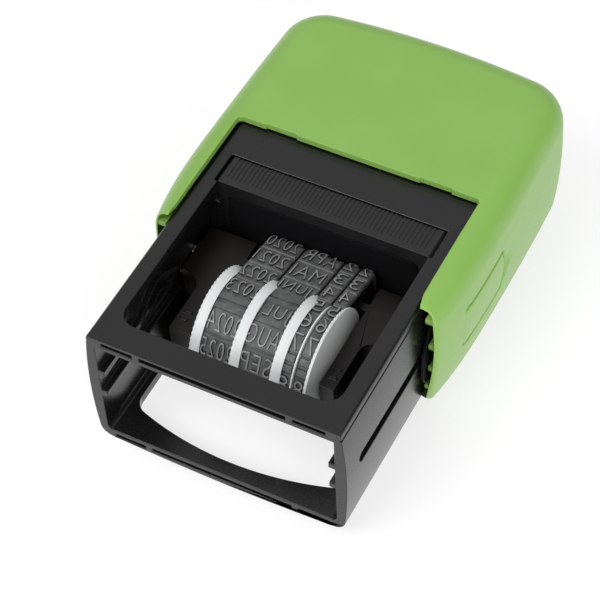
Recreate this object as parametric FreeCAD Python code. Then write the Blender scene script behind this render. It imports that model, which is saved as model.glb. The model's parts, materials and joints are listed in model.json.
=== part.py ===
import FreeCAD, Part
import math
import os
from FreeCAD import Vector

# A self-inking date stamp with four hand-set date bands, lying on its back.
# X runs across it, Y from the foot to the top of the press cap, Z out of the front window.
# While it is modelled, y is 0 at the foot rim and z is 0 on the front face of the frame.
# At the end all of it moves so that the origin is below its middle, on the surface it lies on.

# Shared fits
overrun = 2.0
running_gap = 0.05
slide_gap = 0.3
seat_gap = 0.1

# Stroke and flip: the carrier's pivot, the reach to the type faces, the wheels behind it
pivot_height = 30.2
pivot_depth = 11.4
print_reach = 5.4
wheel_offset = 11.8
travel = pivot_height - print_reach
flip_degrees = 180.0
pivot_z = -pivot_depth
wheel_height = pivot_height - wheel_offset

# Base frame: a tube with bulged sides, bowed back and an open foot
frame_width = 43.0
frame_depth = 25.8
side_bulge = 0.8
back_bow = 0.9
front_corner_radius = 0.8
back_corner_radius = 2.2
side_wall = 1.2
front_wall = 1.6
back_wall = 2.6
cavity_corner_radius = 1.0
foot_bar_height = 4.5
foot_bar_depth = 2.6
back_slot_depth = 1.1
foot_taper_height = 4.0
foot_taper_depth = 0.35
foot_slot_width = 0.8
foot_slot_depth = 3.0
foot_slot_share = 0.2884
foot_slot_web = 1.2
foot_slot_margin = 2.5
window_border = 2.95
window_corner_radius = 2.8
back_window_border = 2.9
back_window_sill = 2.6
back_window_rise = 3.3
back_window_top = 21.0
back_window_corner_radius = 2.8
side_line_inset = 1.6
side_line_width = 0.3
side_line_depth = 0.3
frame_top_chamfer = 1.5
inner_half_width = frame_width / 2 - side_wall
frame_half_width = frame_width / 2 + side_bulge
window_half_width = frame_width / 2 - window_border
back_window_half_width = frame_width / 2 - back_window_border
foot_slot_middle = frame_width * foot_slot_share
foot_slot_end = frame_width / 2 - foot_slot_margin

# Guide rails and cam track moulded on the inside of both frame sides
pin_radius = 1.0
stud_radius = 0.8
stud_reach = 4.5
track_gap = 0.15
track_wall = 1.0
rail_gap = 0.9
rail_wall = 1.2
rail_height = 1.05
rail_top = 28.0
slot_headroom = 0.2

# Ink cartridge: a tray with a ribbed grip bar, and the pad that faces the type
tray_side_wall = 2.5
tray_height = 5.8
tray_back_wall = 3.8
tray_recess = 0.2
tray_edge_chamfer = 0.5
chamber_gap = 0.15
pad_side_wall = 2.3
pad_end_wall = 4.2
pad_thickness = 3.8
pad_gap = 0.5
pad_proud = 0.2
pad_wall = 2.5
pad_corner_radius = 1.5
ledge_thickness = 1.2
ledge_width = 2.5
grip_pitch = 0.74
grip_groove_width = 0.37
grip_groove_depth = 0.14
grip_margin = 1.3
grip_end_margin = 1.6
tray_notch_width = 6.0
tray_notch_depth = 0.6
cartridge_travel = 22.0
tray_half_width = frame_width / 2 - tray_side_wall
tray_length = frame_depth - tray_back_wall
pad_half_width = tray_half_width - pad_side_wall
pad_length = tray_length - pad_end_wall
pad_face = pivot_height + print_reach + pad_gap
tray_low = pad_face + pad_proud
tray_high = tray_low + tray_height
ledge_high = tray_low - seat_gap
chamber_high = tray_high + chamber_gap
chamber_half_width = tray_half_width + chamber_gap

# Top of the frame: the deck over the cartridge, the spring well and the cored pockets
deck_wall = 1.95
well_depth = 5.4
well_radius = 6.3
well_wall = 1.4
pocket_wall = 1.4
pocket_web = 1.2
well_floor = chamber_high + deck_wall
frame_height = well_floor + well_depth

# Main spring: one coil of round wire between the well and the cap
spring_radius = 5.4
wire_radius = 0.45
end_pitch = 1.4
end_turns = 1
middle_turns = 5
spring_seat_gap = 0.1

# Yoke: a thin bracket round the frame that carries the pivot pins
arm_thickness = 0.55
arm_gap = 0.25
arm_front = 5.6
arm_back = 17.3
arm_paper_gap = 0.3
arm_tip_reach = print_reach - arm_paper_gap
arm_tip_front = 10.2
arm_tip_inset = 1.4
arm_waist_reach = 4.4
arm_waist_front = 9.2
arm_shoulder_reach = 2.4
yoke_plate = 1.5
yoke_corner_radius = 3.5
yoke_inner_radius = 2.4
yoke_ring_gap = 0.5
yoke_ring_wall = 1.7
boss_radius = 1.9
boss_height = 0.3
arm_window_low = 41.5
arm_window_high = 50.5
arm_window_half = 3.4
arm_inner = frame_half_width + arm_gap
arm_outer = arm_inner + arm_thickness
yoke_low = frame_height + travel + slide_gap
yoke_high = yoke_low + yoke_plate

# Press cap: a lofted shell with a wide front cut-out
cap_wall = 1.6
cap_mouth_wall = 0.5
cap_front_wall = 1.2
cap_back_wall = 1.7
cap_top_wall = 1.6
cap_arm_gap = 1.55
cap_frame_gap = 0.3
cap_back_gap = 0.4
cap_headroom = 3.0
cap_mouth_drop = 4.2
cap_mouth_inset = 1.5
cap_shoulder_inset = 0.25
cap_top_inset = 0.8
cap_front_inset = 0.5
cap_back_inset = 1.6
cap_back_taper = 0.8
cap_top_sag = 2.1
cap_top_front_drop = 0.4
cap_corner_radius = 8.0
cap_front_radius = 5.3
cap_back_radius = 7.5
cap_corner_core = 2.8
cap_mouth_radius = 1.0
heel_radius = 9.8
heel_start = 18.5
heel_degrees = 45.0
cap_low_shoulder_share = 0.16
cap_middle_share = 0.42
cap_high_shoulder_share = 0.68
cutout_lip = 0.45
cutout_corner_radius = 0.9
cutout_flare = 0.4
cutout_flare_height = 2.2
cutout_notch_near = 11.0
cutout_notch_far = 16.5
cutout_notch_depth = 0.25
mouth_rib_height = 7.5
mouth_rib_thickness = 1.0
mouth_rib_setback = 0.3
outer_rib_gap = 0.35
inner_rib_gap = 0.15
front_rib_depth = 2.7
back_rib_depth = 18.9
boss_rib_reach = 2.7
post_share = 0.558
post_radius = 1.5
post_shoulder_radius = 2.6
plug_radius = 4.6
plug_height = 2.5
seat_radius = 6.6
seat_height = 0.8
cap_mouth = pivot_height - cap_mouth_drop
cap_inner_top = yoke_high + cap_headroom
cap_top = cap_inner_top + cap_top_wall
cap_inner_half_width = arm_outer + cap_arm_gap
cap_half_width = cap_inner_half_width + cap_wall
cap_front = cap_frame_gap + cap_front_wall
cap_inner_back = -frame_depth - cap_back_gap
cap_back = cap_inner_back - cap_back_wall
cap_length = cap_top - cap_mouth
cutout_top = frame_height - cutout_lip
cutout_half_width = frame_width / 2
post_spacing = frame_width * post_share
spring_seat = cap_inner_top - seat_height

# Lock tabs: sprung tongues in the cap sides with a catch that enters the frame's side groove
tab_root = 34.3
tab_length = 13.8
tab_end_bulge = 1.2
tab_centre_depth = 12.0
tab_half_width = 4.7
tab_gap = 0.3
tab_root_gap = 0.12
tab_end_gap = 0.5
tab_travel_degrees = 3.0
scoop_radius = 9.0
scoop_bite = 0.7
catch_half_width = 0.75
catch_low = 44.5
catch_high = 47.5
catch_gap = 0.5
catch_groove_depth = 1.1

# Carrier: a fork that holds the wheel axle and the anvil, and turns on the pivot pins
carrier_side_gap = 1.4
carrier_half_thickness = 3.0
left_cheek_share = 0.3442
right_cheek_share = 0.3256
cheek_left_gap = 0.6
cheek_right_gap = 0.2
cheek_reach = 17.9
cheek_shoulder_reach = 7.6
cheek_shoulder_radius = 2.6
carrier_head_reach = 3.3
web_near_reach = 1.8
web_far_reach = 0.3
stud_gap = 0.25
mark_length = 1.5
mark_width = 0.55
mark_height = 0.35
mark_pitch = 1.7
mark_reach = 14.0
mark_count = 2
pin_seat_depth = 4.5
pin_end_gap = 0.15
axle_radius = 1.5
axle_inset = 0.3
press_gap = 0.02

# Bands, wheels and anvil
band_thickness = 0.9
type_height = 0.5
drum_radius = 7.4
nose_half_thickness = 4.0
nose_radius = 1.0
rim_radius = 9.6
rim_width = 1.6
rim_land = 0.4
rim_lip_gap = 0.15
tooth_depth = 0.2
tooth_count = 66
bore_radius = axle_radius + running_gap
disc_radius = 9.0
disc_width = 0.25
flange_land = 0.5
flange_width = 1.2
hub_radius = 3.2
wheel_web = 0.5
band_inner = drum_radius + running_gap
band_outer = band_inner + band_thickness
rim_inner = band_outer + type_height + rim_lip_gap
nose_reach = print_reach - band_thickness - type_height - running_gap

# Left and right edges of the bands, side by side across the frame, and the left edges of the wheel rims
band_start_share = -0.1953
band_width_shares = (0.1430, 0.1512, 0.0581, 0.0500)
band_spacing = 0.4
band_close_spacing = 0.35
year_rim_lead = 1.3
month_rim_lead = 0.9
tens_rim_lead = 0.75
year_width, month_width, tens_width, units_width = [frame_width * share for share in band_width_shares]
year_start = frame_width * band_start_share
month_start = year_start + year_width + band_spacing
tens_start = month_start + month_width + band_spacing
units_start = tens_start + tens_width + band_close_spacing
year_band = (year_start, year_start + year_width)
month_band = (month_start, month_start + month_width)
tens_band = (tens_start, tens_start + tens_width)
units_band = (units_start, units_start + units_width)
year_rim = year_start - year_rim_lead
month_rim = month_start - month_rim_lead
tens_rim = tens_start - tens_rim_lead
units_rim = units_band[1] + running_gap
units_face = units_rim + flange_width

carrier_half_width = inner_half_width - carrier_side_gap
left_cheek_outer = frame_width * left_cheek_share
right_cheek_outer = frame_width * right_cheek_share
left_cheek_inner = cheek_left_gap - year_rim
right_cheek_inner = units_face + cheek_right_gap

rest_place = Vector(0, -cap_top / 2, -cap_back)
x_axis = Vector(1, 0, 0)
y_axis = Vector(0, 1, 0)
z_axis = Vector(0, 0, 1)
sides = (-1, 1)


# Plain shapes
def block(x_low, x_high, y_low, y_high, z_low, z_high):
    corner = Vector(x_low, y_low, z_low)
    return Part.makeBox(x_high - x_low, y_high - y_low, z_high - z_low, corner)


def side_block(side, x_near, x_far, y_low, y_high, z_low, z_high):
    x_low = min(side * x_near, side * x_far)
    x_high = max(side * x_near, side * x_far)
    return block(x_low, x_high, y_low, y_high, z_low, z_high)


def rod_x(radius, x_low, x_high, y, z):
    return Part.makeCylinder(radius, x_high - x_low, Vector(x_low, y, z), x_axis)


def rod_y(radius, y_low, y_high, x, z):
    return Part.makeCylinder(radius, y_high - y_low, Vector(x, y_low, z), y_axis)


def line(start, end):
    return Part.LineSegment(start, end).toShape()


def arc(start, middle, end):
    return Part.Arc(start, middle, end).toShape()


def curve(points):
    spline = Part.BSplineCurve()
    spline.interpolate(points)
    return spline.toShape()


def polygon(points):
    return Part.Wire([line(a, b) for a, b in zip(points, points[1:] + points[:1])])


def prism(wire, direction):
    return Part.Face(wire).extrude(direction)


def turned(profile, y, z):
    face = Part.Face(profile)
    solid = face.revolve(Vector(0, 0, 0), x_axis, 360)
    solid.translate(Vector(0, y, z))
    return solid


def edges_along(shape, axis, keep):
    chosen = []
    for edge in shape.Edges:
        start = edge.Vertexes[0].Point
        end = edge.Vertexes[-1].Point
        span = end - start
        if span.Length > 0 and abs(span.normalize().dot(axis)) > 0.99 and keep(edge):
            chosen.append(edge)
    return chosen


def save(shape, node):
    placed = shape.copy()
    placed.translate(rest_place)
    placed = placed.removeSplitter()
    placed.exportStep("parts/" + node + ".step")
    box = placed.BoundBox
    print(node, len(placed.Solids), "solid", round(placed.Volume, 1), "mm3", placed.isValid(),
          [round(v, 2) for v in (box.XMin, box.XMax, box.YMin, box.YMax, box.ZMin, box.ZMax)])


# Base frame
def frame_outline():
    half = frame_width / 2
    back = -frame_depth + back_bow
    middle = back / 2
    front_left = Vector(-half, 0, 0)
    front_right = Vector(half, 0, 0)
    back_right = Vector(half, 0, back)
    back_left = Vector(-half, 0, back)
    return Part.Wire([
        line(front_left, front_right),
        arc(front_right, Vector(half + side_bulge, 0, middle), back_right),
        arc(back_right, Vector(0, 0, -frame_depth), back_left),
        arc(back_left, Vector(-half - side_bulge, 0, middle), front_left),
    ])


def rounded_frame_body():
    body = prism(frame_outline(), Vector(0, frame_height, 0))
    front_edges = edges_along(body, y_axis, lambda e: e.CenterOfMass.z > -side_wall)
    body = body.makeFillet(front_corner_radius, front_edges)
    back_edges = edges_along(body, y_axis, lambda e: e.CenterOfMass.z < -frame_depth + 2 * back_bow)
    return body.makeFillet(back_corner_radius, back_edges)


def window_cut():
    cut = block(-window_half_width, window_half_width, foot_bar_height, ledge_high + seat_gap,
                -front_wall - overrun, overrun)
    lower = edges_along(cut, z_axis, lambda e: e.CenterOfMass.y < foot_bar_height + seat_gap)
    return cut.makeFillet(window_corner_radius, lower)


def back_window_cut():
    z_low = -frame_depth - overrun
    half = back_window_half_width
    side_low = back_window_sill + back_window_rise
    low_left = Vector(-half, side_low, z_low)
    low_right = Vector(half, side_low, z_low)
    high_right = Vector(half, back_window_top, z_low)
    high_left = Vector(-half, back_window_top, z_low)
    wire = Part.Wire([
        arc(low_left, Vector(0, back_window_sill, z_low), low_right),
        line(low_right, high_right),
        line(high_right, high_left),
        line(high_left, low_left),
    ])
    cut = prism(wire, Vector(0, 0, back_wall + 2 * overrun))
    corners = edges_along(cut, z_axis, lambda e: True)
    return cut.makeFillet(back_window_corner_radius, corners)


def cam_point(turn, offset):
    # The stud's path on the frame side: the pivot's stroke plus the carrier's turn about it
    y = pivot_height - travel * turn / math.pi - stud_reach * math.cos(turn)
    z = pivot_z + stud_reach * math.sin(turn)
    along_y = -travel / math.pi + stud_reach * math.sin(turn)
    along_z = stud_reach * math.cos(turn)
    length = math.hypot(along_y, along_z)
    return y - offset * along_z / length, z + offset * along_y / length


def cam_band(half_width, x_low, thickness):
    steps = 12
    turns = [math.pi * n / steps for n in range(steps + 1)]
    left = [Vector(x_low, *cam_point(t, half_width)) for t in turns]
    right = [Vector(x_low, *cam_point(t, -half_width)) for t in reversed(turns)]
    overshoot = half_width * math.pi / travel
    far = Vector(x_low, *cam_point(math.pi + overshoot, 0))
    near = Vector(x_low, *cam_point(-overshoot, 0))
    wire = Part.Wire([curve(left), arc(left[-1], far, right[0]), curve(right), arc(right[-1], near, left[0])])
    return prism(wire, Vector(thickness, 0, 0))


def side_guides(side):
    # Two straight rails beside the pin's slot, joined by the curved walls of the cam track
    face = inner_half_width
    crest = face - rail_height
    x_low = min(side * face, side * crest)
    channel = pin_radius + rail_gap
    rail = channel + rail_wall
    track = stud_radius + track_gap
    raised = side_block(side, crest, face + seat_gap, 0, rail_top, pivot_z - rail, pivot_z + rail)
    raised = raised.fuse(cam_band(track + track_wall, x_low, rail_height))
    run = side_block(side, crest - overrun, face, -overrun, rail_top + overrun, pivot_z - channel, pivot_z + channel)
    return raised.cut(run.fuse(cam_band(track, x_low - rail_height, 3 * rail_height)))


def pin_slot(side):
    half = pin_radius + running_gap
    low = print_reach
    high = pivot_height + slot_headroom
    near = inner_half_width - overrun
    far = frame_half_width + overrun
    x_low = min(side * near, side * far)
    x_high = max(side * near, side * far)
    slot = side_block(side, near, far, low, high, pivot_z - half, pivot_z + half)
    for end in (low, high):
        slot = slot.fuse(rod_x(half, x_low, x_high, end, pivot_z))
    groove_half = catch_half_width + slide_gap
    groove = side_block(side, frame_half_width - catch_groove_depth, far, high, frame_height + overrun,
                        pivot_z - groove_half, pivot_z + groove_half)
    return slot.fuse(groove)


def foot_slots():
    front_middle = -foot_bar_depth / 2
    back_middle = -frame_depth + foot_bar_depth / 2
    runs = [
        (-foot_slot_end, -foot_slot_middle - foot_slot_web),
        (-foot_slot_middle, foot_slot_middle),
        (foot_slot_middle + foot_slot_web, foot_slot_end),
    ]
    half = foot_slot_width / 2
    cuts = []
    for middle, depth in ((front_middle, foot_slot_depth), (back_middle, back_slot_depth)):
        for low, high in runs:
            cuts.append(block(low, high, -overrun, depth, middle - half, middle + half))
    return cuts


def foot_taper():
    half = frame_half_width + overrun
    wire = polygon([
        Vector(-half, -overrun, -foot_taper_depth * (foot_taper_height + overrun) / foot_taper_height),
        Vector(-half, foot_taper_height, 0),
        Vector(-half, foot_taper_height, overrun),
        Vector(-half, -overrun, overrun),
    ])
    return prism(wire, Vector(2 * half, 0, 0))


def top_pockets():
    half = frame_width / 2 - pocket_wall
    z_low = -frame_depth + back_wall + back_bow
    z_high = -front_wall
    pocket = block(-half, half, well_floor, frame_height + overrun, z_low, z_high)
    pocket = pocket.cut(rod_y(well_radius + well_wall, well_floor - overrun, frame_height + 2 * overrun, 0, pivot_z))
    web_half = pocket_web / 2
    rib = block(-half - overrun, half + overrun, well_floor - overrun, frame_height + 2 * overrun,
                pivot_z - web_half, pivot_z + web_half)
    return pocket.cut(rib)


def make_base_frame():
    body = rounded_frame_body()
    z_back = -frame_depth + back_wall
    hollow = block(-inner_half_width, inner_half_width, -overrun, ledge_high - ledge_thickness, z_back, -front_wall)
    hollow = hollow.makeFillet(cavity_corner_radius, edges_along(hollow, y_axis, lambda e: True))
    throat_half = inner_half_width - ledge_width
    throat = block(-throat_half, throat_half, ledge_high - ledge_thickness - overrun, ledge_high + seat_gap,
                   z_back, -front_wall)
    chamber = block(-chamber_half_width, chamber_half_width, ledge_high, chamber_high,
                    -tray_recess - tray_length - slide_gap, overrun)
    body = body.cut([hollow, throat])
    foot_bar = block(-inner_half_width, inner_half_width, 0, foot_bar_height, -foot_bar_depth, -front_wall / 2)
    body = body.fuse(foot_bar)
    body = body.fuse([side_guides(side) for side in sides])
    cuts = [chamber, window_cut(), back_window_cut(), foot_taper(), top_pockets()]
    cuts.append(rod_y(well_radius, well_floor, frame_height + overrun, 0, pivot_z))
    cuts.extend(pin_slot(side) for side in sides)
    cuts.extend(foot_slots())
    for side in sides:
        line_middle = -side_line_inset
        line_half = side_line_width / 2
        edge_x = frame_width / 2 + side_bulge * 4 * side_line_inset / frame_depth
        cuts.append(side_block(side, edge_x - side_line_depth, edge_x + overrun, -overrun, frame_height + overrun,
                               line_middle - line_half, line_middle + line_half))
        corner = frame_half_width
        wedge = polygon([
            Vector(side * corner, frame_height - frame_top_chamfer, -frame_depth - overrun),
            Vector(side * (corner + overrun), frame_height - frame_top_chamfer, -frame_depth - overrun),
            Vector(side * (corner + overrun), frame_height + overrun, -frame_depth - overrun),
            Vector(side * (corner - frame_top_chamfer), frame_height + overrun, -frame_depth - overrun),
            Vector(side * (corner - frame_top_chamfer), frame_height, -frame_depth - overrun),
        ])
        cuts.append(prism(wedge, Vector(0, 0, frame_depth + 2 * overrun)))
    return body.cut(cuts)


# Ink cartridge
def make_ink_cartridge():
    z_high = -tray_recess
    z_low = z_high - tray_length
    tray = block(-tray_half_width, tray_half_width, tray_low, tray_high, z_low, z_high)
    front_edges = edges_along(tray, y_axis, lambda e: e.CenterOfMass.z > z_high - seat_gap)
    tray = tray.makeChamfer(tray_edge_chamfer, front_edges)
    pad_high = z_high - pad_wall
    cavity_half = pad_half_width + seat_gap
    cavity = block(-cavity_half, cavity_half, tray_low - overrun, pad_face + pad_thickness + seat_gap,
                   pad_high - pad_length - 2 * seat_gap, pad_high)
    cavity = cavity.makeFillet(pad_corner_radius, edges_along(cavity, y_axis, lambda e: True))
    grooves = []
    span = 2 * (tray_half_width - grip_end_margin)
    count = int(span / grip_pitch)
    for n in range(count + 1):
        x = (n - count / 2) * grip_pitch
        half = grip_groove_width / 2
        grooves.append(block(x - half, x + half, tray_low + grip_margin, tray_high + overrun,
                             z_high - grip_groove_depth, z_high + overrun))
    notch_half = tray_notch_width / 2
    rear_notch = block(-notch_half, notch_half, tray_high - tray_notch_depth, tray_high + overrun,
                       z_low - overrun, z_low + tray_notch_width)
    return tray.cut([cavity, rear_notch]).cut(grooves)


def make_ink_pad():
    z_high = -tray_recess - pad_wall - seat_gap
    pad = block(-pad_half_width, pad_half_width, pad_face, pad_face + pad_thickness, z_high - pad_length, z_high)
    return pad.makeFillet(pad_corner_radius - seat_gap, edges_along(pad, y_axis, lambda e: True))


# Press cap
def cap_outline(z, half, top, mouth, mouth_half, sag, taper):
    # Seen from the front: mouth line, gently swollen sides, domed top
    length = top - mouth
    shoulder = half - cap_shoulder_inset
    top_half = half - cap_top_inset

    def side_points(side):
        return [
            Vector(side * (mouth_half - taper), mouth, z),
            Vector(side * (shoulder - taper), mouth + length * cap_low_shoulder_share, z),
            Vector(side * (half - taper / 2), mouth + length * cap_middle_share, z),
            Vector(side * shoulder, mouth + length * cap_high_shoulder_share, z),
            Vector(side * top_half, top - sag, z),
        ]

    left = side_points(-1)
    right = side_points(1)
    return Part.Wire([
        line(left[0], right[0]),
        curve(right),
        arc(right[-1], Vector(0, top, z), left[-1]),
        curve(left[::-1]),
    ])


def cap_form(inset, mouth_inset, front, back, top, mouth, corner_radius, front_radius, back_radius):
    # Three outlines lofted from front to back, then every corner rounded
    depths = (
        (front, cap_front_inset, cap_top_front_drop, 0),
        (pivot_z, 0, 0, 0),
        (back, cap_back_inset, cap_top_front_drop, cap_back_taper),
    )
    wires = []
    for z, side_inset, top_drop, taper in depths:
        half = cap_half_width - inset - side_inset
        mouth_half = cap_half_width - mouth_inset - side_inset
        wires.append(cap_outline(z, half, top - top_drop, mouth, mouth_half, cap_top_sag, taper))
    form = Part.makeLoft(wires, True, False)
    corners = edges_along(form, z_axis, lambda e: e.CenterOfMass.y > top - 2 * corner_radius)
    form = form.makeFillet(corner_radius, corners)

    def rim_edges(z):
        return [
            e for e in form.Edges
            if abs(e.BoundBox.ZMax - z) < seat_gap and abs(e.BoundBox.ZMin - z) < seat_gap
            and e.BoundBox.YMax > mouth + corner_radius
        ]

    form = form.makeFillet(front_radius, rim_edges(front))
    form = form.makeFillet(back_radius, rim_edges(back))
    return form


def heel_cut():
    # Seen from the side, the mouth turns up in a large curve to the back of the cap
    half = cap_half_width + overrun
    centre_y = cap_mouth + heel_radius
    lean = math.radians(heel_degrees)
    end = Vector(-half, centre_y, -heel_start - heel_radius)
    middle = Vector(-half, centre_y - heel_radius * math.cos(lean), -heel_start - heel_radius * math.sin(lean))
    start = Vector(-half, cap_mouth, -heel_start)
    below = cap_mouth - overrun
    behind = end.z - overrun
    wire = Part.Wire([
        arc(start, middle, end),
        line(end, Vector(-half, end.y, behind)),
        line(Vector(-half, end.y, behind), Vector(-half, below, behind)),
        line(Vector(-half, below, behind), Vector(-half, below, start.z)),
        line(Vector(-half, below, start.z), start),
    ])
    return prism(wire, Vector(2 * half, 0, 0))


def outer_cap_form():
    return cap_form(0, cap_mouth_inset, cap_front, cap_back, cap_top, cap_mouth,
                    cap_corner_radius, cap_front_radius, cap_back_radius)


def inner_cap_form():
    return cap_form(cap_wall, cap_mouth_inset + cap_mouth_wall, cap_frame_gap, cap_inner_back, cap_inner_top,
                    cap_mouth - overrun, cap_corner_radius - cap_corner_core,
                    cap_front_radius - cap_corner_core, cap_back_radius - cap_corner_core)


def cutout_shape():
    z_low = 0
    half = cutout_half_width
    flared = half + cutout_flare
    bottom = cap_mouth - overrun
    wire = polygon([
        Vector(-half, cutout_top, z_low),
        Vector(half, cutout_top, z_low),
        Vector(half, cap_mouth + cutout_flare_height, z_low),
        Vector(flared, cap_mouth, z_low),
        Vector(flared, bottom, z_low),
        Vector(-flared, bottom, z_low),
        Vector(-flared, cap_mouth, z_low),
        Vector(-half, cap_mouth + cutout_flare_height, z_low),
    ])
    cut = prism(wire, Vector(0, 0, cap_front + overrun))
    tops = edges_along(cut, z_axis, lambda e: e.CenterOfMass.y > cutout_top - seat_gap)
    cut = cut.makeFillet(cutout_corner_radius, tops)
    notches = []
    for side in sides:
        notches.append(side_block(side, cutout_notch_near, cutout_notch_far, cutout_top - overrun,
                                  cutout_top + cutout_notch_depth, z_low, cap_front + overrun))
    return cut.fuse(notches)


def mouth_ribs(side):
    half = mouth_rib_thickness / 2
    low = cap_mouth + mouth_rib_setback
    high = cap_mouth + mouth_rib_height
    deep = frame_half_width + outer_rib_gap
    shallow = arm_outer + inner_rib_gap
    ribs = []
    for depth, near in (
        (-front_rib_depth, deep),
        (pivot_z + boss_rib_reach, shallow),
        (pivot_z - boss_rib_reach, shallow),
        (-back_rib_depth, deep),
    ):
        ribs.append(side_block(side, near, cap_half_width, low, high, depth - half, depth + half))
    return ribs


def tab_shape(side, shrink, root_shrink, end_shrink):
    half = tab_half_width - shrink
    low = tab_root + root_shrink
    high = tab_root + tab_length - end_shrink
    z_middle = -tab_centre_depth
    x = side * (arm_outer + seat_gap)
    far = side * (cap_half_width + overrun)
    wire = Part.Wire([
        line(Vector(x, low, z_middle - half), Vector(x, low, z_middle + half)),
        line(Vector(x, low, z_middle + half), Vector(x, high, z_middle + half)),
        arc(Vector(x, high, z_middle + half), Vector(x, high + tab_end_bulge, z_middle), Vector(x, high, z_middle - half)),
        line(Vector(x, high, z_middle - half), Vector(x, low, z_middle - half)),
    ])
    return prism(wire, Vector(far - x, 0, 0))


def scoop(side):
    centre = Vector(side * (cap_half_width + scoop_radius - scoop_bite), tab_root + tab_length, -tab_centre_depth)
    return Part.makeSphere(scoop_radius, centre)


def cap_top_fittings():
    high = cap_inner_top + cap_top_wall / 2
    fittings = [
        rod_y(seat_radius, spring_seat, high, 0, pivot_z),
        rod_y(plug_radius, spring_seat - plug_height, high, 0, pivot_z),
    ]
    for side in sides:
        x = side * post_spacing / 2
        fittings.append(rod_y(post_shoulder_radius, yoke_high + seat_gap, high, x, pivot_z))
        fittings.append(rod_y(post_radius, yoke_low + seat_gap, high, x, pivot_z))
    return fittings


def mouth_edges(form):
    # The outline of the mouth, flat and then up along the heel
    chosen = []
    for edge in form.Edges:
        middle = edge.valueAt((edge.FirstParameter + edge.LastParameter) / 2)
        flat = abs(edge.BoundBox.YMax - cap_mouth) < seat_gap
        reach = math.hypot(middle.y - cap_mouth - heel_radius, middle.z + heel_start)
        curved = abs(reach - heel_radius) < seat_gap and middle.z < -heel_start
        if (flat or curved) and edge.BoundBox.XLength < cap_half_width:
            chosen.append(edge)
    return chosen


def make_cap(outer, inner):
    rounded = outer.cut(heel_cut())
    rounded = rounded.makeFillet(cap_mouth_radius, mouth_edges(rounded))
    shell = rounded.cut(inner)
    added = cap_top_fittings()
    for side in sides:
        added.extend(mouth_ribs(side))
    inner_parts = Part.makeCompound(added).common(rounded)
    shell = shell.fuse(inner_parts.Solids)
    cuts = [cutout_shape()]
    for side in sides:
        cuts.append(tab_shape(side, 0, 0, 0))
        cuts.append(scoop(side))
    return shell.cut(cuts)


def make_lock_tab(side, outer, inner):
    wall = outer.cut(inner)
    tab = wall.common(tab_shape(side, tab_gap, tab_root_gap, tab_end_gap))
    tip = frame_half_width + catch_gap
    catch = side_block(side, tip, cap_inner_half_width + cap_wall / 2, catch_low, catch_high,
                       pivot_z - catch_half_width, pivot_z + catch_half_width)
    return tab.fuse(catch)


# Yoke
def make_yoke():
    z_low = -arm_back
    width = arm_back - arm_front
    low = pivot_height - arm_tip_reach
    outer = block(-arm_outer, arm_outer, low, yoke_high, z_low, z_low + width)
    outer = outer.makeFillet(yoke_corner_radius, edges_along(outer, z_axis, lambda e: e.CenterOfMass.y > yoke_low))
    inner = block(-arm_inner, arm_inner, low - overrun, yoke_low, z_low - overrun, z_low + width + overrun)
    inner = inner.makeFillet(yoke_inner_radius, edges_along(inner, z_axis, lambda e: e.CenterOfMass.y > yoke_low - seat_gap))
    yoke = outer.cut(inner)
    half = arm_outer + overrun
    tip_wire = polygon([
        Vector(-half, pivot_height - arm_shoulder_reach, -arm_front + overrun),
        Vector(-half, pivot_height - arm_shoulder_reach, -arm_front),
        Vector(-half, pivot_height - arm_waist_reach, -arm_waist_front),
        Vector(-half, low, -arm_tip_front),
        Vector(-half, low, -arm_back + arm_tip_inset),
        Vector(-half, pivot_height - arm_waist_reach, -arm_back),
        Vector(-half, pivot_height - arm_waist_reach, -arm_back - overrun),
        Vector(-half, low - overrun, -arm_back - overrun),
        Vector(-half, low - overrun, -arm_front + overrun),
    ])
    cuts = [prism(tip_wire, Vector(2 * half, 0, 0))]
    cuts.append(rod_y(well_radius + yoke_ring_gap, yoke_low - overrun, yoke_high + overrun, 0, pivot_z))
    bosses = []
    for side in sides:
        x_low = min(side * arm_outer, side * (arm_outer + boss_height))
        bosses.append(rod_x(boss_radius, x_low, x_low + boss_height, pivot_height, pivot_z))
        cuts.append(side_block(side, arm_inner - overrun, arm_outer + overrun, arm_window_low, arm_window_high,
                               pivot_z - arm_window_half, pivot_z + arm_window_half))
        cuts.append(rod_y(post_radius + seat_gap, yoke_low - overrun, yoke_high + overrun,
                          side * post_spacing / 2, pivot_z))
    ring_radius = well_radius + yoke_ring_gap + yoke_ring_wall
    yoke = yoke.fuse(bosses + [rod_y(ring_radius, yoke_low, yoke_high, 0, pivot_z)])
    cuts.append(rod_x(pin_radius + running_gap, -half, half, pivot_height, pivot_z))
    return yoke.cut(cuts)


# Main spring: a helix made of biarcs, each a quarter turn long
def biarc(start, start_way, end, end_way):
    chord = end - start
    total = start_way + end_way
    spread = 2 * (1 - start_way.dot(end_way))
    along = chord.dot(total)
    reach = (-along + math.sqrt(along * along + spread * chord.dot(chord))) / spread
    joint = (start + end + (start_way - end_way) * reach) * 0.5

    def half_arc(first, way, last):
        step = last - first
        unit = Vector(step).normalize()
        lift = way - unit * way.dot(unit)
        height = step.Length / 2 * math.tan(math.acos(min(1, way.dot(unit))) / 2)
        middle = first + step * 0.5 + lift.normalize() * height
        return arc(first, middle, last)

    backward = end_way * -1
    first_half = half_arc(start, start_way, joint)
    second_half = half_arc(end, backward, joint)
    return [first_half, second_half]


def spring_rise(turn, length):
    middle_pitch = (length - 2 * end_turns * end_pitch) / middle_turns
    if turn <= end_turns:
        return turn * end_pitch, end_pitch
    if turn <= end_turns + middle_turns:
        return end_turns * end_pitch + (turn - end_turns) * middle_pitch, middle_pitch
    rest = turn - end_turns - middle_turns
    return end_turns * end_pitch + middle_turns * middle_pitch + rest * end_pitch, end_pitch


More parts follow.
